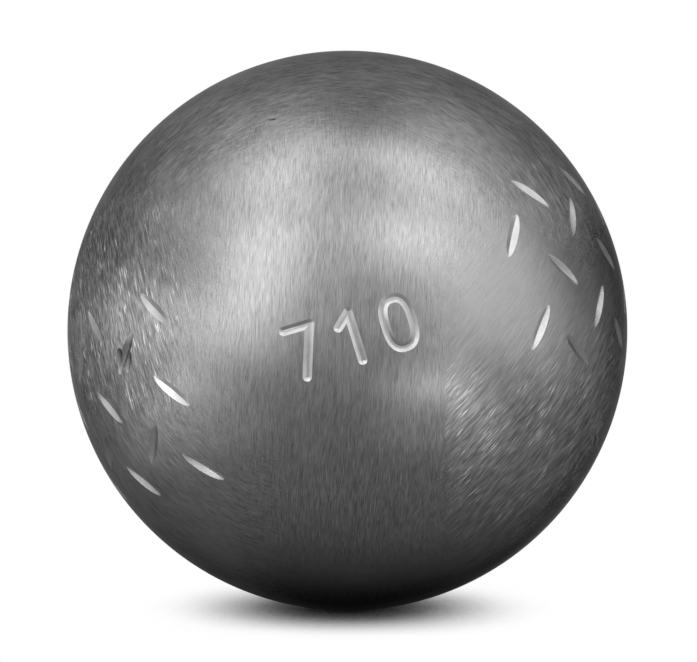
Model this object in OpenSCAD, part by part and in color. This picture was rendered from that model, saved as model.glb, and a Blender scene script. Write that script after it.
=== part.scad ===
// Petanque boule: a hollow steel ball made of two pressed half shells that a
// butt weld joins all round, with a band of short milled notches outside.
// Lengths are in millimetres and angles in degrees. Z is up, the origin is the
// middle of the ball, and the marked side looks towards -Y.

/* [Ball] */
// Outside diameter of the ball
ball_d = 74; // [70.5:0.5:80]
// Thickness of the steel wall
wall = 6.25; // [5:0.05:8]

/* [Weld] */
// Gap between the two rims, which the weld fills
root_gap = 1.2; // [0.6:0.1:2]
// Width of the flat land on each rim, next to the cavity
root_land = 1.6; // [0.8:0.1:2.4]
// Width of the groove outside the lands, which the weld fills too
groove_w = 3.4; // [2.4:0.1:6]
// Width of the bead of weld metal inside the cavity
bead_w = 4; // [3:0.25:6]
// Height of the bead of weld metal inside the cavity
bead_h = 0.8; // [0.4:0.1:1.2]

/* [Notches] */
// Length of one notch along the surface
notch_len = 6.4; // [4:0.1:8]
// Width of one notch at its middle
notch_w = 1.55; // [1:0.05:2.4]
// Depth of one notch at its middle
notch_depth = 0.38; // [0.2:0.02:0.6]
// Slant of a notch from the direction of the band
notch_slant = 48; // [30:1:60]

/* [Band] */
// Roll of the band's axis, which lifts the band on the right
band_roll = 17; // [0:1:45]
// Lean of the band's axis away from the marked side
band_lean = 3.5; // [0:0.5:20]
// Number of columns of notches round the ball
column_count = 28; // [4:2:28]
// Angle from one column to the next
column_step = 10.4; // [8:0.1:12]
// Angle from the front of the ball to the middle of the unnotched place
gap_centre = 0.8; // [-10:0.1:10]
// Latitude of the two notches in a column of two
pair_latitude = 9.4; // [6:0.1:12]
// Latitude of the outer notches in a column of three
outer_latitude = 16.35; // [13:0.05:24]

/* [Hidden] */
$fn = 96;

ball_r = ball_d / 2;
bore_r = ball_r - wall;
// How far a cut runs past the surface that it opens
overrun = 1;

// Outer edge of the land, and how far out the sections of the rim are drawn
land_r = bore_r + root_land;
section_r = ball_r + overrun;

// The inner bead is a circle through both its edges on the bore and its crown
bead_crown_r = bore_r - bead_h;
bead_edge_r = sqrt(pow(bore_r, 2) - pow(bead_w / 2, 2));
bead_centre_r = (pow(bore_r, 2) - pow(bead_crown_r, 2)) / (2 * (bead_edge_r - bead_crown_r));
bead_r = bead_centre_r - bead_crown_r;

// A notch is the dip of a wheel with a round edge: the edge's radius gives the
// width, and the wheel's radius gives the length
edge_r = (pow(notch_w / 2, 2) + pow(notch_depth, 2)) / (2 * notch_depth);
wheel_r = 1 / (2 * notch_depth / pow(notch_len / 2, 2) - 1 / ball_r);
wheel_centre = ball_r - notch_depth + wheel_r;
// Only the part of the wheel near the ball is drawn, a little past the notch
drawn_wheel_share = 1.25;
wheel_arc = drawn_wheel_share * 2 * asin(notch_len / 2 / wheel_r);

// Columns start at the right of the unnotched place and go round the back
first_column = gap_centre + (360 - (column_count - 1) * column_step) / 2;

// Turns what is drawn round the Z axis into the band's own direction
module in_band() rotate([-band_lean, 0, 0]) rotate([0, -band_roll, 0]) children();

// Section of the upper half above its rim, which steps back at the groove
module rim_section()
    polygon([
        [0, root_gap / 2], [land_r, root_gap / 2], [land_r, groove_w / 2],
        [section_r, groove_w / 2], [section_r, section_r], [0, section_r]
    ]);

// Right half of a disc, as the section of a sphere
module half_disc(r)
    intersection() {
        circle(r);
        translate([0, -r]) square([r, 2 * r]);
    }

module wall_section()
    difference() {
        half_disc(ball_r);
        circle(bore_r);
    }

// Half of the hollow ball, with its rim facing down
module half_blank()
    rotate_extrude()
        intersection() {
            wall_section();
            rim_section();
        }

// Weld metal between the rims, and the bead that it leaves inside
module weld_blank()
    rotate_extrude()
        union() {
            difference() {
                wall_section();
                rim_section();
                mirror([0, 1]) rim_section();
            }
            intersection() {
                half_disc(bore_r);
                translate([bead_centre_r, 0]) circle(bead_r);
            }
        }

// One wheel, dipping into the ball at a longitude and a latitude
module notch_wheel(longitude, latitude, slant)
    rotate([0, 0, longitude]) rotate([-latitude, 0, 0]) rotate([0, -slant, 0])
        translate([0, -wheel_centre, 0]) rotate([0, 0, 90 - wheel_arc / 2])
            rotate_extrude(angle = wheel_arc) translate([wheel_r - edge_r, 0]) circle(edge_r);

// Columns of two that slant to the right, between columns of three that slant
// to the left
module notches()
    for (column = [0 : column_count - 1]) {
        longitude = first_column + column * column_step;
        if (column % 2 == 0)
            for (side = [-1, 1])
                notch_wheel(longitude, side * pair_latitude, notch_slant);
        else
            for (side = [-1 : 1])
                notch_wheel(longitude, side * outer_latitude, 180 - notch_slant);
    }

module upper_half_shell()
    color("dimgray")
        in_band()
            difference() {
                half_blank();
                notches();
            }

module lower_half_shell()
    color("dimgray")
        in_band()
            difference() {
                mirror([0, 0, 1]) half_blank();
                notches();
            }

module weld_seam()
    color("darkgray")
        in_band()
            difference() {
                weld_blank();
                notches();
            }

upper_half_shell();
lower_half_shell();
weld_seam();
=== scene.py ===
import math

import bmesh
import bpy
from mathutils import Matrix, Vector


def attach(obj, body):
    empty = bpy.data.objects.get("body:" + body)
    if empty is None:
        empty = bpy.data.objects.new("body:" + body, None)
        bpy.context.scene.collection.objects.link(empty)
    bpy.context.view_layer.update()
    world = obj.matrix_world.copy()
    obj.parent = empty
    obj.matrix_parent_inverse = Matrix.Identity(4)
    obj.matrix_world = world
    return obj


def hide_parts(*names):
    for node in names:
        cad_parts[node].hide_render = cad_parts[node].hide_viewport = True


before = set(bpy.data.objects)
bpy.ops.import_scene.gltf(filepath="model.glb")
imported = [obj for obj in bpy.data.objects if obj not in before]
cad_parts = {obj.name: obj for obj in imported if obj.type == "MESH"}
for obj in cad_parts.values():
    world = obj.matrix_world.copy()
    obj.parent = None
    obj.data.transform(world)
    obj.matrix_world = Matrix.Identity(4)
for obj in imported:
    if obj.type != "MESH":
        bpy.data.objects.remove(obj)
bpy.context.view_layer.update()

MM = 0.001
# A radius or a share below this counts as none
TINY = 1e-9

# Sizes of the ball, its weld and its notches, as in the part
BALL_R = 37.0 * MM
WALL = 6.25 * MM
ROOT_GAP = 1.2 * MM
ROOT_LAND = 1.6 * MM
GROOVE_W = 3.4 * MM
BEAD_W = 4.0 * MM
BEAD_H = 0.8 * MM
NOTCH_LEN = 6.4 * MM
NOTCH_W = 1.55 * MM
NOTCH_DEPTH = 0.38 * MM
NOTCH_SLANT = 48.0
BAND_ROLL = 17.0
BAND_LEAN = 3.5
COLUMN_COUNT = 28
COLUMN_STEP = 10.4
GAP_CENTRE = 0.8
PAIR_LATITUDE = 9.4
OUTER_LATITUDE = 16.35

BORE_R = BALL_R - WALL
LAND_R = BORE_R + ROOT_LAND

# How suddenly a pit's side turns into its floor: 1 is a sharp V, more is rounder
NOTCH_STEEPNESS = 1.12
KNOCK_STEEPNESS = 2.0

# Knocks on the marked side: azimuth, elevation, tilt, length, width and depth
KNOCKS = (
    (-51.3, -2.5, 98, 2.8 * MM, 1.8 * MM, 0.2 * MM),
    (-48.6, -3.0, 72, 2.8 * MM, 0.9 * MM, 0.16 * MM),
    (-24.3, 51.1, 8, 1.1 * MM, 0.5 * MM, 0.06 * MM),
)

# Weight figures, engraved in the unnotched place
FIGURE_H = 7.4 * MM
FIGURE_W = 4.6 * MM
FIGURE_PITCH = 6.2 * MM
STROKE_W = 1.15 * MM
STROKE_FLOOR_W = 0.3 * MM
STROKE_DEPTH = 0.28 * MM
# Where the strokes of the 7 and the 1 end, as shares of half the width between outer strokes
SEVEN_FOOT = 0.3
ONE_STEM = 0.3
ONE_FLAG_REACH = 0.7
ONE_FLAG_DROP = 0.9
# The power of the 0's oval: 2 is an ellipse, more is squarer
OVAL_POWER = 2.6

# Fineness of the meshes: steps round, and degrees of latitude from ring to ring
RING_STEPS = 360
LATITUDE_STEP = 1.0
BORE_STEP = 6.0
BEAD_STEPS = 8
PIT_STEPS = 64
PIT_RING_SHARES = (0.03, 0.07, 0.15, 0.3, 0.45, 0.6, 0.75, 0.88, 1.0)
CAP_STEPS = 16
STROKE_STEPS = 12
OVAL_STEPS = 72
# How far the cutters reach out of the ball
PROUD = 0.6 * MM

# Which faces are on the ball's outside, by place and by facing, and what counts as a crisp edge
OUTSIDE_TOLERANCE = 0.006 * MM
OUTSIDE_FACING = 0.998
SHARP_ANGLE = 20
# No cut reaches this far in
BELOW_CUTS_R = BALL_R - 2 * NOTCH_DEPTH

scene = bpy.context.scene


def turn(axis, degrees):
    return Matrix.Rotation(math.radians(degrees), 4, axis)


def towards(azimuth, elevation):
    """The turn that takes the front of the ball to a direction."""
    return turn("Z", azimuth) @ turn("X", -elevation)


BAND = turn("X", -BAND_LEAN) @ turn("Y", -BAND_ROLL)


def mesh_object(name, verts, faces):
    mesh = bpy.data.meshes.new(name)
    mesh.from_pydata([tuple(v) for v in verts], [], faces)
    mesh.validate()
    obj = bpy.data.objects.new(name, mesh)
    scene.collection.objects.link(obj)
    return obj


# Lathe-turned blanks: each is a section turned round the band's axis

def arc(radius, start, end, step):
    """Points (r, z) of a section's arc about the middle of the ball, by latitude."""
    count = max(2, round(abs(end - start) / step))
    angles = [math.radians(start + (end - start) * i / count) for i in range(count + 1)]
    return [(radius * math.cos(angle), radius * math.sin(angle)) for angle in angles]


def lathe(name, section):
    """Turn a closed section into a solid. A point on the axis becomes one vertex."""
    verts, rings = [], []
    for r, z in section:
        start = len(verts)
        if r < TINY:
            verts.append((0.0, 0.0, z))
            rings.append([start] * RING_STEPS)
        else:
            for i in range(RING_STEPS):
                angle = 2 * math.pi * i / RING_STEPS
                verts.append((r * math.cos(angle), r * math.sin(angle), z))
            rings.append([start + i for i in range(RING_STEPS)])
    faces = []
    for low, high in zip(rings, rings[1:] + rings[:1]):
        for i in range(RING_STEPS):
            j = (i + 1) % RING_STEPS
            corners = list(dict.fromkeys((low[i], low[j], high[j], high[i])))
            if len(corners) > 2:
                faces.append(corners)
    return mesh_object(name, verts, faces)


def groove_latitude(radius, half_width):
    return math.degrees(math.asin(half_width / radius))


def shell_section():
    """Section of the upper half shell: outside, pole, bore, then the stepped rim."""
    outside = arc(BALL_R, groove_latitude(BALL_R, GROOVE_W / 2), 90, LATITUDE_STEP)
    bore = arc(BORE_R, 90, groove_latitude(BORE_R, ROOT_GAP / 2), BORE_STEP)
    outside[-1] = (0.0, BALL_R)
    bore[0] = (0.0, BORE_R)
    return outside + bore + [(LAND_R, ROOT_GAP / 2), (LAND_R, GROOVE_W / 2)]


def weld_section():
    """Section of the weld: outside band, step down to the root gap, and the bead inside."""
    edge = groove_latitude(BALL_R, GROOVE_W / 2)
    outside = arc(BALL_R, -edge, edge, LATITUDE_STEP)
    crown = BORE_R - BEAD_H
    bead_edge = math.sqrt(BORE_R ** 2 - (BEAD_W / 2) ** 2)
    centre = (BORE_R ** 2 - crown ** 2) / (2 * (bead_edge - crown))
    radius = centre - crown
    spread = math.asin(BEAD_W / 2 / radius)
    bead = []
    for i in range(BEAD_STEPS + 1):
        angle = spread * (1 - 2 * i / BEAD_STEPS)
        bead.append((centre - radius * math.cos(angle), radius * math.sin(angle)))
    root = [(math.sqrt(BORE_R ** 2 - (ROOT_GAP / 2) ** 2), ROOT_GAP / 2)]
    step_up = [(LAND_R, GROOVE_W / 2), (LAND_R, ROOT_GAP / 2)] + root
    step_down = [(r, -z) for r, z in reversed(step_up)]
    return outside + step_up + bead + step_down


# Cutters

def pit_depth(along, across, steepness):
    """Depth of a pit as a share, at a place given in shares of its half length and half width."""
    edge = 1 - along ** 2
    if edge < TINY:
        return 0.0
    return edge * (1 - min(1.0, abs(across) / math.sqrt(edge)) ** steepness)


def pit_cutter(verts, faces, placing, length, width, depth, steepness):
    """A long oval pit in the ball's front, placed by a matrix."""
    start = len(verts)
    verts.append(placing @ Vector((0.0, depth - BALL_R, 0.0)))
    for share in PIT_RING_SHARES + (1.0 + PROUD / width,):
        for i in range(PIT_STEPS):
            angle = 2 * math.pi * i / PIT_STEPS
            along, across = share * math.cos(angle), share * math.sin(angle)
            down = depth * pit_depth(along, across, steepness) if share <= 1 else -PROUD
            x, z = along * length / 2, across * width / 2
            on_surface = Vector((x, -math.sqrt(BALL_R ** 2 - x ** 2 - z ** 2), z))
            verts.append(placing @ (on_surface * (1 - down / BALL_R)))
    rings = len(PIT_RING_SHARES) + 1
    for i in range(PIT_STEPS):
        j = (i + 1) % PIT_STEPS
        faces.append((start, start + 1 + i, start + 1 + j))
        for k in range(rings - 1):
            low = start + 1 + k * PIT_STEPS
            high = low + PIT_STEPS
            faces.append((low + i, high + i, high + j, low + j))
    top = start + 1 + (rings - 1) * PIT_STEPS
    faces.append(tuple(top + i for i in range(PIT_STEPS)))


def column_longitude(column):
    first = GAP_CENTRE + (360 - (COLUMN_COUNT - 1) * COLUMN_STEP) / 2
    return first + column * COLUMN_STEP


def column_slant(column):
    return NOTCH_SLANT if column % 2 == 0 else 180 - NOTCH_SLANT


def notch_cutters():
    """Columns of two notches, between columns of three that slant the other way."""
    verts, faces = [], []
    for column in range(COLUMN_COUNT):
        if column % 2 == 0:
            rows = (-PAIR_LATITUDE, PAIR_LATITUDE)
        else:
            rows = (-OUTER_LATITUDE, 0.0, OUTER_LATITUDE)
        for latitude in rows:
            placing = BAND @ turn("Z", column_longitude(column)) @ turn("X", -latitude)
            placing = placing @ turn("Y", -column_slant(column))
            pit_cutter(verts, faces, placing, NOTCH_LEN, NOTCH_W, NOTCH_DEPTH, NOTCH_STEEPNESS)
    return mesh_object("notch_cutters", verts, faces)


def knock_cutters():
    verts, faces = [], []
    for azimuth, elevation, tilt, length, width, depth in KNOCKS:
        placing = towards(azimuth, elevation) @ turn("Y", -tilt)
        pit_cutter(verts, faces, placing, length, width, depth, KNOCK_STEEPNESS)
    return mesh_object("knock_cutters", verts, faces)


def on_ball(x, z, radius):
    """A point of the unnotched place, x along the band and z across it, at a radius."""
    longitude = GAP_CENTRE + math.degrees(x / BALL_R)
    latitude = math.degrees(z / BALL_R)
    return BAND @ turn("Z", longitude) @ turn("X", -latitude) @ Vector((0.0, -radius, 0.0))


def wall_rings():
    """Radius and half width of an engraved line, at its floor and above the ball."""
    slope = (STROKE_W - STROKE_FLOOR_W) / STROKE_DEPTH
    floor_ring = (BALL_R - STROKE_DEPTH, STROKE_FLOOR_W / 2)
    return [floor_ring, (BALL_R + PROUD, (STROKE_W + slope * PROUD) / 2)]


def stroke_cutter(name, start, end):
    """An engraved line with round ends and sloping walls, which follows the ball's curve."""
    start, end = Vector(start), Vector(end)
    run = end - start
    heading = math.atan2(run.y, run.x)
    sideways = Vector((-run.y, run.x)).normalized()
    verts, faces = [], []
    count = 2 * (CAP_STEPS + STROKE_STEPS)
    ends = ((start, math.pi / 2, run, -1), (end, -math.pi / 2, -run, 1))
    for ring, (radius, half) in enumerate(wall_rings()):
        outline = []
        for middle, swing, to_next, side in ends:
            for i in range(CAP_STEPS + 1):
                angle = heading + swing + math.pi * i / CAP_STEPS
                outline.append(middle + Vector((math.cos(angle), math.sin(angle))) * half)
            for i in range(1, STROKE_STEPS):
                outline.append(middle + to_next * i / STROKE_STEPS + sideways * side * half)
        verts.extend(on_ball(point.x, point.y, radius) for point in outline)
        first = ring * count
        faces.append(tuple(first + i for i in range(CAP_STEPS + 1)))
        faces.append(tuple(first + CAP_STEPS + STROKE_STEPS + i for i in range(CAP_STEPS + 1)))
        for i in range(STROKE_STEPS):
            left, right = (count - i) % count, CAP_STEPS + i
            faces.append((first + left, first + right, first + right + 1, first + count - i - 1))
    for i in range(count):
        j = (i + 1) % count
        faces.append((i, j, count + j, count + i))
    return mesh_object(name, verts, faces)


def oval_cutter(name, x_mid, width, height):
    """An engraved oval line: its section swept once round a stadium-like oval."""
    verts, faces = [], []
    for i in range(OVAL_STEPS):
        angle = 2 * math.pi * i / OVAL_STEPS
        cosine, sine = math.cos(angle), math.sin(angle)
        x = math.copysign(abs(cosine) ** (2 / OVAL_POWER), cosine) * width / 2
        z = math.copysign(abs(sine) ** (2 / OVAL_POWER), sine) * height / 2
        normal = Vector((cosine * height, sine * width)).normalized()
        for radius, half in wall_rings():
            for side in (-1, 1):
                edge_x = x_mid + x + side * half * normal.x
                edge_z = z + side * half * normal.y
                verts.append(on_ball(edge_x, edge_z, radius))
    for i in range(OVAL_STEPS):
        low, high = 4 * i, 4 * ((i + 1) % OVAL_STEPS)
        for a, b in ((0, 1), (1, 3), (3, 2), (2, 0)):
            faces.append((low + a, low + b, high + b, high + a))
    return mesh_object(name, verts, faces)


def outward(obj):
    """Turn every closed part of a mesh so that its faces look outward."""
    bm = bmesh.new()
    bm.from_mesh(obj.data)
    bmesh.ops.recalc_face_normals(bm, faces=bm.faces)
    bm.to_mesh(obj.data)
    bm.free()


def combine(obj, other, operation):
    """Apply one boolean to obj and delete the other object."""
    cut = obj.modifiers.new(operation, "BOOLEAN")
    cut.operation = operation
    cut.solver = "MANIFOLD"
    cut.object = other
    depsgraph = bpy.context.evaluated_depsgraph_get()
    result = bpy.data.meshes.new_from_object(obj.evaluated_get(depsgraph))
    obj.modifiers.clear()
    old = obj.data
    obj.data = result
    bpy.data.meshes.remove(old)
    bpy.data.objects.remove(other, do_unlink=True)


def split_into_triangles(obj):
    """Split a mesh into triangles, and drop the pairs that fold back on each other."""
    bm = bmesh.new()
    bm.from_mesh(obj.data)
    bmesh.ops.triangulate(bm, faces=bm.faces)
    by_corners = {}
    for face in bm.faces:
        corners = tuple(sorted(vert.index for vert in face.verts))
        by_corners.setdefault(corners, []).append(face)
    folded = [face for faces in by_corners.values() if len(faces) > 1 for face in faces]
    bmesh.ops.delete(bm, geom=folded, context="FACES")
    bm.to_mesh(obj.data)
    bm.free()


def figure_cutters():
    """The figures 7, 1 and 0, side by side along the band."""
    top = (FIGURE_H - STROKE_W) / 2
    side = (FIGURE_W - STROKE_W) / 2
    seven_x, one_x, zero_x = -FIGURE_PITCH, 0.0, FIGURE_PITCH
    corner = (seven_x + side, top)
    seven = stroke_cutter("seven", (seven_x - side, top), corner)
    leg = stroke_cutter("seven_leg", corner, (seven_x - side * SEVEN_FOOT, -top))
    stem_x = one_x + side * ONE_STEM
    flag_end = (one_x - side * ONE_FLAG_REACH, top - side * ONE_FLAG_DROP)
    one = stroke_cutter("one", (stem_x, top), (stem_x, -top))
    flag = stroke_cutter("one_flag", (stem_x, top), flag_end)
    zero = oval_cutter("zero", zero_x, 2 * side, 2 * top)
    for part in (seven, leg, one, flag, zero):
        outward(part)
    combine(seven, leg, "UNION")
    combine(one, flag, "UNION")
    return [seven, one, zero]


def join(objects, name):
    """Join separate meshes into one, with no boolean."""
    bm = bmesh.new()
    for obj in objects:
        bm.from_mesh(obj.data)
        bpy.data.objects.remove(obj, do_unlink=True)
    mesh = bpy.data.meshes.new(name)
    bm.to_mesh(mesh)
    bm.free()
    obj = bpy.data.objects.new(name, mesh)
    scene.collection.objects.link(obj)
    return obj


# Materials

class Graph:
    """Short calls that add linked nodes to a material or a world."""

    def __init__(self, owner):
        owner.use_nodes = True
        self.nodes = owner.node_tree.nodes
        self.links = owner.node_tree.links

    def feed(self, socket, value):
        if isinstance(value, bpy.types.NodeSocket):
            self.links.new(value, socket)
        else:
            socket.default_value = value

    def add(self, kind, inputs, **settings):
        node = self.nodes.new("ShaderNode" + kind)
        for name, value in settings.items():
            setattr(node, name, value)
        for key, value in inputs.items():
            self.feed(node.inputs[key], value)
        return node

    def math(self, operation, *values):
        return self.add("Math", dict(enumerate(values)), operation=operation).outputs[0]

    def product(self, first, *others):
        for other in others:
            first = self.math("MULTIPLY", first, other)
        return first

    def vector(self, operation, *values):
        return self.add("VectorMath", dict(enumerate(values)), operation=operation).outputs

    def nearness(self, heading, axis):
        """How near a direction is to an axis, either way: 1 along it and 0 square to it."""
        return self.math("ABSOLUTE", self.vector("DOT_PRODUCT", heading, axis)["Value"])

    def split(self, vector):
        return self.add("SeparateXYZ", {0: vector}).outputs

    def noise(self, vector, size, detail=2.0, roughness=0.5):
        """Noise whose features are as large as size, a length or one length for each axis."""
        sizes = (size, size, size) if isinstance(size, float) else size
        spread = self.vector("DIVIDE", vector, sizes)[0]
        return self.add("TexNoise", {"Vector": spread, "Scale": 1.0, "Detail": detail,
                                     "Roughness": roughness}).outputs[0]

    def ramp(self, value, start, end, low=0.0, high=1.0):
        """Value from low at start to high at end, held beyond them."""
        return self.add("MapRange", {"Value": value, "From Min": start, "From Max": end,
                                     "To Min": low, "To Max": high}).outputs[0]

    def swing(self, value, amount):
        """Noise about 0.5 turned into a signed change of the amount."""
        return self.math("MULTIPLY_ADD", value, 2 * amount, -amount)

    def pick(self, chooser, off, on):
        """One of two vectors, by a chooser that is 0 or 1."""
        return self.add("Mix", {0: chooser, 4: off, 5: on}, data_type="VECTOR").outputs[1]


# Each zone of the ball was brushed round an axis of its own, so its strokes are circles
# about that axis: upright ones in the middle of the marked side, leaning ones on its left,
# ones along the edge outside them, and slanting ones on the right
UPRIGHT_AXIS = Vector((1.0, 0.0, -0.06)).normalized()
LEFT_AXIS = Vector((0.95, -0.09, 0.26)).normalized()
EDGE_AXIS = Vector((-0.03, -0.98, 0.2)).normalized()
SLANT_AXIS = Vector((0.70, 0.25, -0.67)).normalized()

# Where the zones end, in x and z of the direction from the middle of the ball, or in
# nearness to an axis
UPRIGHT_REACH = math.cos(math.radians(39))
STRIP_START = -0.28
LEFT_START = -0.48
LEFT_BOTTOM = -0.24
LEFT_TOP = 0.5
SLANT_START = 0.33
SLANT_REACH = 0.78
SLANT_TOP = 0.42

# How the zones' ends wander and fray, as the size of the noise and its swing
DRIFT_SIZE = 8 * MM
DRIFT = 0.12
FRAY_SIZE = (0.1 * MM, 0.1 * MM, 1.0 * MM)
FRAY = 0.45
# How the strokes themselves wander
BEND_SIZE = 12 * MM
BEND = 1.2 * MM

# The ramps below are start, end, and the values there where they aren't 0 and 1
# How frayed the slanting zone's left end is, above and below its sharp middle stretch
SLANT_FRAY_ABOVE = (-0.1, 0.3, 0.02, 1.0)
SLANT_FRAY_BELOW = (-0.3, -0.6, 0.0, 0.8)

# Where coarse scratches and their painted glints show: the left edge of the marked side, its lower
# right, the far right
LEFT_WEAR_GLINT_X = (-0.5, -0.68)
LEFT_WEAR_GLINT_BOTTOM = (-0.36, -0.2)
LEFT_WEAR_GLINT_TOP = (0.65, 0.3)
RIGHT_WEAR_GLINT_X = (0.95, 0.75, 0.45, 0.85)
RIGHT_WEAR_GLINT_BOTTOM = (-0.74, -0.5)
RIGHT_WEAR_GLINT_TOP = (0.0, -0.2)
FAR_WEAR_GLINT_X = (0.78, 0.88, 0.0, 0.6)
FAR_WEAR_GLINT_BOTTOM = (-0.65, -0.45)
FAR_WEAR_GLINT_TOP = (0.15, 0.0)

# How much the strokes show, by nearness to the axis of the marked side and by height
SHOW_IN_MIDDLE = (0.95, 0.6, 0.48, 1.0)
SHOW_AT_EDGE = (0.15, 0.45, 0.5, 1.0)
SHOW_UNDERNEATH = (-0.8, -0.5, 0.15, 1.05)
SHOW_ON_TOP = (0.9, 0.5, 0.6, 1.0)
# How much less they show at the upper right and at the lower left
QUIET_UPPER_RIGHT = (-0.2, 0.15, 0.0, 0.7)
QUIET_LEFT_X = (-0.3, -0.45)
QUIET_LEFT_Z = (-0.2, -0.42, 0.0, 0.55)

# Sizes of the strokes, first across them and then along them
UPRIGHT_GRAIN = (0.11 * MM, 1.7 * MM, 1.7 * MM)
EDGE_GRAIN = (0.14 * MM, 1.4 * MM, 1.4 * MM)
SLANT_GRAIN = (0.13 * MM, 2.2 * MM, 2.2 * MM)
BROAD_GRAIN = (0.5 * MM, 3.5 * MM, 3.5 * MM)
COARSE_GRAIN = (0.22 * MM, 2.3 * MM, 2.3 * MM)
GLINT_DASH_GRAIN = (0.16 * MM, 2.1 * MM, 2.1 * MM)
FINE_ROUGHNESS = 0.6

# Pale dashes that paint glints of light on the scratches, the clusters that they come in, and pale
# specks
GLINT_DASH_LIMITS = (0.6, 0.72)
GLINT_CLUSTER_SIZE = 4 * MM
GLINT_CLUSTER_LIMITS = (0.4, 0.6)
SPECK_SPACING = 2.8 * MM
SPECK_LIMITS = (0.015, 0.03, 1.0, 0.0)
STAIN_SIZE = 11 * MM
STAIN_DETAIL = 3.0

# The steel's tone, and changes of it as shares
STEEL_TONE = 0.085
FINE_SWING = 1.35
BROAD_SWING = 0.28
COARSE_SWING = 0.85
STAIN_SWING = 0.14
# How much the painted glints on the scratches lighten the tone
GLINT_DASH_GAIN = 2.6
DARKEST_STROKE = -0.3
DARKEST_SCRATCH = -0.38
STEEL_ROUGHNESS = 0.4
STEEL_ROUGHNESS_SWING = 0.05
STEEL_EDGE_TINT = 0.22
STEEL_ANISOTROPY = 0.6
STROKE_HEIGHT = 0.006 * MM

# The same for the cuts, and where and how much the cuts are darker round the knocks
CUT_TONE = 0.145
CUT_GRAIN_SIZE = 0.25 * MM
CUT_STAIN_SIZE = 1.5 * MM
CUT_GRAIN_SWING = 0.12
CUT_STAIN_SWING = 0.25
CUT_ROUGHNESS = 0.42
CUT_ROUGHNESS_SWING = 0.04
CUT_EDGE_TINT = 0.15
CUT_ANISOTROPY = 0.72
DARK_KNOCK_PLACES = tuple(
    towards(azimuth, elevation) @ Vector((0.0, -BALL_R, 0.0))
    for azimuth, elevation in ((-50.6, -1.2), (-24.3, 51.1))
)
DARK_KNOCK_LIMITS = (1.7 * MM, 2.9 * MM, -0.65, 0.0)


def stroke_zones(graph, place, heading):
    """Where the strokes run along the edge, where they lean on the left, and where they slant."""
    x, y, z = graph.split(heading)
    drift = graph.swing(graph.noise(place, DRIFT_SIZE), DRIFT)
    fray = graph.swing(graph.noise(place, FRAY_SIZE), FRAY)
    stray = graph.math("ADD", drift, fray)
    frayed_x = graph.math("ADD", x, stray)
    frayed_y = graph.math("ADD", y, stray)
    frayed_z = graph.math("ADD", z, stray)

    # Upright strokes go on below the middle in a strip, outside their round place
    near_middle = graph.math("ADD", graph.nearness(heading, EDGE_AXIS), stray)
    strip = graph.product(graph.math("GREATER_THAN", frayed_x, STRIP_START),
                          graph.math("LESS_THAN", z, 0.0),
                          graph.math("LESS_THAN", frayed_y, 0.0))
    along_edge = graph.product(graph.math("LESS_THAN", near_middle, UPRIGHT_REACH),
                               graph.math("SUBTRACT", 1.0, strip))

    on_left = graph.product(graph.math("LESS_THAN", frayed_x, LEFT_START),
                            graph.math("GREATER_THAN", frayed_z, LEFT_BOTTOM),
                            graph.math("LESS_THAN", frayed_z, LEFT_TOP))

    softness = graph.math("ADD", graph.ramp(z, *SLANT_FRAY_ABOVE), graph.ramp(z, *SLANT_FRAY_BELOW))
    start = graph.math("MULTIPLY_ADD", stray, softness, SLANT_START)
    near_pole = graph.math("ADD", graph.nearness(heading, SLANT_AXIS), stray)
    slanting = graph.product(graph.math("GREATER_THAN", x, start),
                             graph.math("LESS_THAN", near_pole, SLANT_REACH),
                             graph.math("LESS_THAN", frayed_z, SLANT_TOP))
    return along_edge, on_left, slanting


def stroke_places(graph, place, along_edge, on_left, slanting):
    """Coordinates across and along the strokes of every zone."""
    bend = graph.add("TexNoise", {"Vector": place, "Scale": 1 / BEND_SIZE, "Detail": 1.0}).outputs[1]
    offset = graph.vector("ADD", bend, (-0.5, -0.5, -0.5))[0]
    bent = graph.vector("MULTIPLY_ADD", offset, (BEND, BEND, BEND), place)[0]

    def about(axis):
        rotation = Vector((1, 0, 0)).rotation_difference(axis).to_euler()
        turned = graph.add("Mapping", {"Vector": bent, "Rotation": rotation}, vector_type="TEXTURE")
        return turned.outputs[0]

    strokes = graph.pick(along_edge, about(UPRIGHT_AXIS), about(EDGE_AXIS))
    strokes = graph.pick(on_left, strokes, about(LEFT_AXIS))
    return graph.pick(slanting, strokes, about(SLANT_AXIS))


def wear_and_glint_places(graph, x, z, slanting):
    """How much the coarse scratches and their painted glints show."""
    at_left = graph.product(graph.ramp(x, *LEFT_WEAR_GLINT_X), graph.ramp(z, *LEFT_WEAR_GLINT_BOTTOM),
                            graph.ramp(z, *LEFT_WEAR_GLINT_TOP))
    at_right = graph.product(graph.ramp(z, *RIGHT_WEAR_GLINT_TOP), graph.ramp(z, *RIGHT_WEAR_GLINT_BOTTOM),
                             slanting, graph.ramp(x, *RIGHT_WEAR_GLINT_X))
    far_right = graph.product(graph.ramp(x, *FAR_WEAR_GLINT_X), graph.ramp(z, *FAR_WEAR_GLINT_TOP),
                              graph.ramp(z, *FAR_WEAR_GLINT_BOTTOM))
    return graph.math("MAXIMUM", graph.math("MAXIMUM", at_left, at_right), far_right)


def stroke_weight(graph, heading, x, z, slanting):
    """How much the strokes show: most between the middle and the edge of the marked side."""
    near_middle = graph.nearness(heading, EDGE_AXIS)
    weight = graph.product(graph.ramp(near_middle, *SHOW_IN_MIDDLE),
                           graph.ramp(near_middle, *SHOW_AT_EDGE),
                           graph.ramp(z, *SHOW_UNDERNEATH),
                           graph.ramp(z, *SHOW_ON_TOP))
    upper_right = graph.product(slanting, graph.ramp(z, *QUIET_UPPER_RIGHT))
    low_left = graph.product(graph.ramp(x, *QUIET_LEFT_X), graph.ramp(z, *QUIET_LEFT_Z))
    return graph.product(weight, graph.math("SUBTRACT", 1.0, upper_right),
                         graph.math("SUBTRACT", 1.0, low_left))


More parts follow.
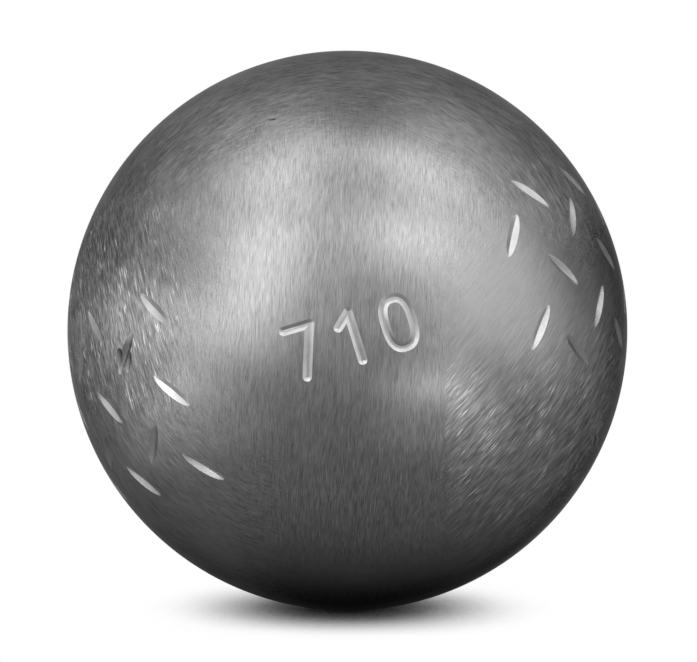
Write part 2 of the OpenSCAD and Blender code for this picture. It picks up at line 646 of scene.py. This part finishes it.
def finish_metal(graph, change, tone, roughness, edge_tint, anisotropy, tangent):
    """Feed the shader as a grey metal, whose tone changes by a share and darkens at grazing angles."""
    level = graph.math("MULTIPLY_ADD", change, tone, tone)
    shader = graph.nodes["Principled BSDF"].inputs
    colour = graph.add("CombineColor", {0: level, 1: level, 2: level}).outputs[0]
    graph.feed(shader["Base Color"], colour)
    graph.feed(shader["Roughness"], roughness)
    graph.feed(shader["Metallic"], 1.0)
    graph.feed(shader["Specular Tint"], (edge_tint, edge_tint, edge_tint, 1.0))
    graph.feed(shader["Anisotropic"], anisotropy)
    graph.feed(shader["Tangent"], tangent)


def steel_material(name):
    """Grey steel, brushed by hand, with fine strokes, scratches with painted glints, pale specks and
    faint stains.
    """
    material = bpy.data.materials.new(name)
    graph = Graph(material)
    place = graph.add("TexCoord", {}).outputs["Object"]
    heading = graph.vector("NORMALIZE", place)[0]
    x, _, z = graph.split(heading)
    along_edge, on_left, slanting = stroke_zones(graph, place, heading)
    strokes = stroke_places(graph, place, along_edge, on_left, slanting)
    wear_and_glint = wear_and_glint_places(graph, x, z, slanting)
    weight = stroke_weight(graph, heading, x, z, slanting)

    fine_size = graph.pick(along_edge, UPRIGHT_GRAIN, EDGE_GRAIN)
    fine_size = graph.pick(slanting, fine_size, SLANT_GRAIN)
    fine = graph.noise(strokes, fine_size, roughness=FINE_ROUGHNESS)
    broad = graph.noise(strokes, BROAD_GRAIN, detail=1.0)
    coarse = graph.noise(strokes, COARSE_GRAIN, detail=1.0)
    glint_dashes = graph.ramp(graph.noise(strokes, GLINT_DASH_GRAIN, detail=1.0), *GLINT_DASH_LIMITS)
    glint_clusters = graph.ramp(graph.noise(place, GLINT_CLUSTER_SIZE, detail=1.0), *GLINT_CLUSTER_LIMITS)
    stain = graph.noise(place, STAIN_SIZE, detail=STAIN_DETAIL)
    cells = graph.add("TexVoronoi", {"Vector": place, "Scale": 1 / SPECK_SPACING})
    specks = graph.ramp(cells.outputs["Distance"], *SPECK_LIMITS)

    change = graph.math("ADD", graph.swing(fine, FINE_SWING), graph.swing(broad, BROAD_SWING))
    change = graph.math("MAXIMUM", graph.product(change, weight), DARKEST_STROKE)
    # Pale dashes in clusters are painted glints of light on the scratches, added to their real tone
    scratch_and_glint = graph.math("MULTIPLY_ADD", graph.product(glint_dashes, glint_clusters), GLINT_DASH_GAIN,
                         graph.swing(coarse, COARSE_SWING))
    change = graph.math("MAXIMUM", graph.math("MULTIPLY_ADD", scratch_and_glint, wear_and_glint, change), DARKEST_SCRATCH)
    change = graph.math("ADD", change, graph.swing(stain, STAIN_SWING))
    change = graph.math("ADD", change, specks)

    roughness = graph.math("ADD", graph.swing(stain, STEEL_ROUGHNESS_SWING),
                           graph.swing(broad, STEEL_ROUGHNESS_SWING))
    roughness = graph.math("ADD", roughness, STEEL_ROUGHNESS)
    axis = graph.pick(along_edge, UPRIGHT_AXIS, EDGE_AXIS)
    axis = graph.pick(slanting, axis, SLANT_AXIS)
    finish_metal(graph, change, STEEL_TONE, roughness, STEEL_EDGE_TINT, STEEL_ANISOTROPY, axis)

    height = graph.product(graph.math("ADD", fine, broad), weight)
    bump = graph.add("Bump", {"Strength": 1.0, "Distance": STROKE_HEIGHT, "Height": height})
    graph.feed(graph.nodes["Principled BSDF"].inputs["Normal"], bump.outputs[0])
    return material


def cut_material(name):
    """The same steel in the cuts, bare and even, but darker round the knocks."""
    material = bpy.data.materials.new(name)
    graph = Graph(material)
    place = graph.add("TexCoord", {}).outputs["Object"]
    grain = graph.noise(place, CUT_GRAIN_SIZE)
    stain = graph.noise(place, CUT_STAIN_SIZE)
    change = graph.math("ADD", graph.swing(grain, CUT_GRAIN_SWING), graph.swing(stain, CUT_STAIN_SWING))
    for knocked in DARK_KNOCK_PLACES:
        away = graph.vector("DISTANCE", place, knocked)["Value"]
        change = graph.math("ADD", change, graph.ramp(away, *DARK_KNOCK_LIMITS))
    roughness = graph.math("ADD", graph.swing(stain, CUT_ROUGHNESS_SWING), CUT_ROUGHNESS)
    across = graph.add("Attribute", {}, attribute_name="across").outputs["Vector"]
    finish_metal(graph, change, CUT_TONE, roughness, CUT_EDGE_TINT, CUT_ANISOTROPY, across)
    return material


def across_notch(place):
    """The direction across the notch that a place lies in, or across an upright line elsewhere."""
    band_place = BAND.inverted() @ place
    longitude = math.degrees(math.atan2(band_place.x, -band_place.y)) % 360
    column = round((longitude - column_longitude(0)) / COLUMN_STEP)
    if not 0 <= column < COLUMN_COUNT:
        return UPRIGHT_AXIS
    return (BAND @ turn("Z", column_longitude(column)) @ turn("Y", -column_slant(column))).col[2].xyz


def finish_surface(obj):
    """Smooth shading, exact on the ball's outside and crisp at every cut's edge, and the
    material of each face: 0 is the brushed steel and 1 is the steel of the cuts."""
    mesh = obj.data
    mesh.shade_smooth()
    mesh.set_sharp_from_angle(angle=math.radians(SHARP_ANGLE))
    normals = [Vector(normal.vector) for normal in mesh.corner_normals]
    slots, across = [], []
    for poly in mesh.polygons:
        near = all(abs(mesh.vertices[v].co.length - BALL_R) < OUTSIDE_TOLERANCE for v in poly.vertices)
        outside = near and poly.normal.dot(poly.center.normalized()) > OUTSIDE_FACING
        slots.append(0 if outside or poly.center.length < BELOW_CUTS_R else 1)
        across.extend(across_notch(poly.center))
        if outside:
            for loop in poly.loop_indices:
                normals[loop] = mesh.vertices[mesh.loops[loop].vertex_index].co.normalized()
    mesh.normals_split_custom_set(normals)
    mesh.polygons.foreach_set("material_index", slots)
    mesh.attributes.new("across", "FLOAT_VECTOR", "FACE").data.foreach_set("vector", across)


steel = steel_material("brushed_steel")
cut_steel = cut_material("cut_steel")

upper = lathe("upper_shell", shell_section())
lower = lathe("lower_shell", [(r, -z) for r, z in shell_section()])
weld = lathe("weld_ring", weld_section())
notches = notch_cutters()
knocks = knock_cutters()
outward(notches)
outward(knocks)
combine(notches, knocks, "UNION")
cutters = join([notches] + figure_cutters(), "cutters")
for piece, node, finish in (
    (upper, "upper_half_shell", "shell_steel"),
    (lower, "lower_half_shell", "shell_steel"),
    (weld, "weld_seam", "weld_steel"),
):
    piece.data.transform(BAND)
    outward(piece)
    tool = bpy.data.objects.new("tool", cutters.data.copy())
    scene.collection.objects.link(tool)
    combine(piece, tool, "DIFFERENCE")
    split_into_triangles(piece)
    piece.data.materials.clear()
    piece.data.materials.append(steel)
    piece.data.materials.append(cut_steel)
    finish_surface(piece)
    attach(piece, "root")
    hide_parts(node)
bpy.data.objects.remove(cutters, do_unlink=True)


# World and floor

WORLD_LEVEL = 0.6
FLOOR_SIZE = 4.0
FLOOR_WHITE = 0.9
FLOOR_ROUGHNESS = 0.9
# The ball's shade on the floor, from how open a place is: its reach and the ramps that show it
SHADE_REACH = 0.2
SHADE_SAMPLES = 16
SEEN_SHADE = (0.02, 0.44)
REFLECTED_SHADE = (0.0, 0.8)


def seen_rays(graph):
    """One where a camera, glossy or transmission ray looks, zero elsewhere."""
    path = graph.add("LightPath", {}).outputs
    seen = graph.math("MAXIMUM", path["Is Camera Ray"], path["Is Glossy Ray"])
    return graph.math("MAXIMUM", seen, path["Is Transmission Ray"])


def studio_world():
    """White where it is seen or reflected, and a softer light elsewhere."""
    world = bpy.data.worlds.new("studio")
    graph = Graph(world)
    background = graph.nodes["Background"].inputs
    graph.feed(background["Color"], (1.0, 1.0, 1.0, 1.0))
    graph.feed(background["Strength"], graph.ramp(seen_rays(graph), 0.0, 1.0, WORLD_LEVEL, 1.0))
    return world


def floor_material(name):
    """White with the ball's soft shade where it is seen or reflected, and matt for other rays."""
    material = bpy.data.materials.new(name)
    graph = Graph(material)
    matt = graph.nodes["Principled BSDF"]
    graph.feed(matt.inputs["Base Color"], (FLOOR_WHITE, FLOOR_WHITE, FLOOR_WHITE, 1.0))
    graph.feed(matt.inputs["Roughness"], FLOOR_ROUGHNESS)
    occlusion = graph.add("AmbientOcclusion", {"Distance": SHADE_REACH}, samples=SHADE_SAMPLES)
    openness = occlusion.outputs["AO"]
    start, end = SEEN_SHADE
    seen_shade = graph.add("MapRange", {"Value": openness, "From Min": start, "From Max": end},
                           interpolation_type="SMOOTHSTEP").outputs["Result"]
    reflected_shade = graph.ramp(openness, *REFLECTED_SHADE)
    by_camera = graph.add("LightPath", {}).outputs["Is Camera Ray"]
    shade = graph.add("Mix", {"Factor": by_camera, "A": reflected_shade, "B": seen_shade})
    glow = graph.add("Emission", {"Strength": shade.outputs["Result"]})
    mix = graph.add("MixShader", {"Fac": seen_rays(graph), 1: matt.outputs["BSDF"],
                                  2: glow.outputs["Emission"]})
    graph.feed(graph.nodes["Material Output"].inputs["Surface"], mix.outputs["Shader"])
    return material


scene.world = studio_world()

half_floor = FLOOR_SIZE / 2
floor_corners = [
    (x * half_floor, y * half_floor, -BALL_R) for x, y in ((-1, -1), (1, -1), (1, 1), (-1, 1))
]
floor = mesh_object("floor", floor_corners, [(0, 1, 2, 3)])
floor.data.materials.append(floor_material("floor_white"))


# Lamps

SOFTBOX_DISTANCE = 0.35
CARD_HEIGHT = 0.4 * MM

# Name, azimuth, elevation, half width and half height in degrees, and radiance
SOFTBOXES = (
    ("left_box", -40, 29.5, 7.5, 35.5, 11.5),
    ("left_inner", -34, 28, 7, 17, 10.9),
    ("left_top", -60, 69, 8, 15, 11),
    ("left_side", -74, 4, 38, 9, 4.3),
    ("left_high", -76, 44, 16, 14, 1.7),
    ("right_box", 57, 18.5, 30, 24.5, 4.3),
    ("right_inner", 30, 40.5, 12.5, 11, 10.7),
    ("right_high", 76, 47, 10, 11, 1.3),
    ("right_top", 59, 63, 8, 14.5, 13.5),
)
# Name, azimuth and half width in degrees, inner and outer radius in metres, and radiance
FLOOR_CARDS = (
    ("left_card", -60, 6, 0.115, 0.33, 10),
    ("right_card", 34, 10, 0.115, 0.21, 12),
    ("left_near", -57, 20, 0.06, 0.112, 1.3),
    ("right_near", 34, 16, 0.06, 0.112, 1.0),
)


def area_light(name, place, aim, width, height, radiance):
    lamp = bpy.data.lights.new(name, "AREA")
    lamp.shape = "RECTANGLE"
    lamp.size, lamp.size_y = width, height
    lamp.energy = radiance * math.pi * width * height
    obj = bpy.data.objects.new(name, lamp)
    obj.location = place
    obj.rotation_euler = aim.to_track_quat("-Z", "Y").to_euler()
    obj.visible_camera = False
    scene.collection.objects.link(obj)
    return obj


def softbox(name, azimuth, elevation, half_width, half_height, radiance):
    """An area light aimed at the ball, its half sizes in degrees as the ball sees it.
    Azimuth 0 is in front, at -Y, and grows towards +X."""
    width = 2 * SOFTBOX_DISTANCE * math.tan(math.radians(half_width))
    height = 2 * SOFTBOX_DISTANCE * math.tan(math.radians(half_height))
    round_z, up = math.radians(azimuth), math.radians(elevation)
    direction = (math.sin(round_z) * math.cos(up), -math.cos(round_z) * math.cos(up), math.sin(up))
    place = Vector(direction) * SOFTBOX_DISTANCE
    area_light(name, place, -place, width, height, radiance)


def floor_card(name, azimuth, half_width, inner, outer, radiance):
    """A bright card that lies on the floor and faces up, from one radius to another."""
    middle = (inner + outer) / 2
    round_z = math.radians(azimuth)
    place = Vector((math.sin(round_z) * middle, -math.cos(round_z) * middle, CARD_HEIGHT - BALL_R))
    width = 2 * middle * math.tan(math.radians(half_width))
    card = area_light(name, place, Vector((0, 0, 1)), width, outer - inner, radiance)
    card.rotation_euler = (math.pi, 0.0, round_z)


for lamp_values in SOFTBOXES:
    softbox(*lamp_values)
for card_values in FLOOR_CARDS:
    floor_card(*card_values)

# The camera stands in front, a little above the middle, as the photograph's did
CAMERA_ELEVATION = math.radians(5.0)
CAMERA_DISTANCE_SHARE = 15.0
SENSOR_W = 36.0
IMAGE_W, IMAGE_H = 697, 662
BALL_RADIUS_PX = 280.0
BALL_CENTRE_PX = (347.4, 330.6)

camera_data = bpy.data.cameras.new("camera")
camera = bpy.data.objects.new("camera", camera_data)
scene.collection.objects.link(camera)
scene.camera = camera
distance = CAMERA_DISTANCE_SHARE * BALL_R
camera.location = (0.0, -distance * math.cos(CAMERA_ELEVATION), distance * math.sin(CAMERA_ELEVATION))
camera.rotation_euler = (math.radians(90) - CAMERA_ELEVATION, 0.0, 0.0)
edge_tangent = 1 / math.sqrt(CAMERA_DISTANCE_SHARE ** 2 - 1)
focal_px = BALL_RADIUS_PX / edge_tangent
camera_data.sensor_fit = "HORIZONTAL"
camera_data.sensor_width = SENSOR_W
camera_data.lens = SENSOR_W * focal_px / IMAGE_W
camera_data.shift_x = (IMAGE_W / 2 - BALL_CENTRE_PX[0]) / IMAGE_W
camera_data.shift_y = (BALL_CENTRE_PX[1] - IMAGE_H / 2) / IMAGE_W

scene.view_settings.view_transform = "Standard"
